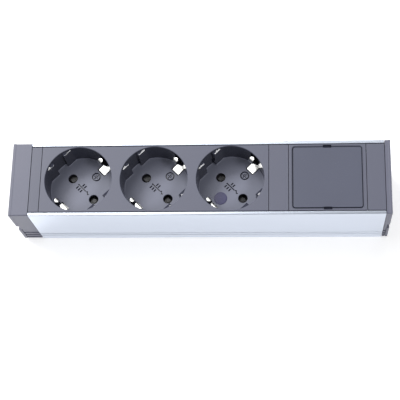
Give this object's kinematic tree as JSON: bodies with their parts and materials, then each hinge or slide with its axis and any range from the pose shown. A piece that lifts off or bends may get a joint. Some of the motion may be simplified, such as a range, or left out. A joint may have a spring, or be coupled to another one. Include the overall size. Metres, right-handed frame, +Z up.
{
  "type": "desk power strip",
  "caption": "Long aluminium desk power strip with round recessed earthed sockets in one dark insert, a square blank module with lift-out cover, and plastic end caps.",
  "frame": {"origin": "on the surface it stands on, under the middle of the strip's length and width", "axes": "+X along the strip from the deep cap with the inlet to the thin cap, +Y to its back, +Z up out of the sockets"},
  "size_m": [0.2234, 0.0454, 0.0464],
  "materials": {
    "anodised_aluminium": "clear anodised satin, drawn lengthwise",
    "cap_plastic": "fine moulded texture",
    "graphite_plastic": "fine moulded texture",
    "cover_plastic": "fine moulded texture",
    "carrier_plastic": "moulded",
    "shutter_plastic": "moulded",
    "inlet_plastic": "moulded",
    "spring_brass": "stamped strip",
    "nickel": "bright nickel plated",
    "zinc_steel": "zinc plated",
    "wire_brown": "wire insulation",
    "wire_blue": "wire insulation",
    "wire_green": "wire insulation",
    "seal_film": "printed film, plain"
  },
  "bodies": {
    "base": {"housing_profile": "anodised_aluminium", "left_end_cap": "cap_plastic", "right_end_cap": "cap_plastic", "left_cap_screw_front": "zinc_steel", "left_cap_screw_back": "zinc_steel", "right_cap_screw_front": "zinc_steel", "right_cap_screw_back": "zinc_steel", "filler_left": "graphite_plastic", "filler_middle": "graphite_plastic", "filler_right": "graphite_plastic", "module_frame": "graphite_plastic", "socket_block_face": "graphite_plastic", "socket_block_rear": "carrier_plastic", "block_screw_1": "zinc_steel", "block_screw_2": "zinc_steel", "block_screw_3": "zinc_steel", "block_screw_4": "zinc_steel", "live_busbar": "spring_brass", "neutral_busbar": "spring_brass", "earth_rail": "spring_brass", "earth_clip_1": "nickel", "earth_clip_2": "nickel", "earth_clip_3": "nickel", "shutter_spring_1": "zinc_steel", "shutter_spring_2": "zinc_steel", "shutter_spring_3": "zinc_steel", "test_seal": "seal_film", "inlet_shroud": "inlet_plastic", "inlet_pin_live": "nickel", "inlet_pin_neutral": "nickel", "inlet_pin_earth": "nickel", "wire_live": "wire_brown", "wire_neutral": "wire_blue", "wire_earth": "wire_green", "earth_bond_screw": "zinc_steel", "earth_bond_washer": "zinc_steel"},
    "cover": {"blank_cover": "cover_plastic"},
    "shutter_rotor_1": {"shutter_1": "shutter_plastic"},
    "shutter_rotor_2": {"shutter_2": "shutter_plastic"},
    "shutter_rotor_3": {"shutter_3": "shutter_plastic"}
  },
  "joints": [
    {"name": "cover_lift", "type": "slide", "parent": "base", "child": "cover", "axis": [0, 0, 1], "range_m": [0, 0.02]},
    {"name": "shutter_turn_1", "type": "hinge", "parent": "base", "child": "shutter_rotor_1", "pos_m": [-0.0714, 0, 0.0244], "axis": [0, 0, 1], "range_deg": [0, 42], "stiffness_Nm_per_rad": 0.0004, "deforming": ["shutter_spring_1"]},
    {"name": "shutter_turn_2", "type": "hinge", "parent": "base", "child": "shutter_rotor_2", "pos_m": [-0.0264, 0, 0.0244], "axis": [0, 0, 1], "range_deg": [0, 42], "stiffness_Nm_per_rad": 0.0004, "deforming": ["shutter_spring_2"]},
    {"name": "shutter_turn_3", "type": "hinge", "parent": "base", "child": "shutter_rotor_3", "pos_m": [0.0186, 0, 0.0244], "axis": [0, 0, 1], "range_deg": [0, 42], "stiffness_Nm_per_rad": 0.0004, "deforming": ["shutter_spring_3"]}
  ]
}
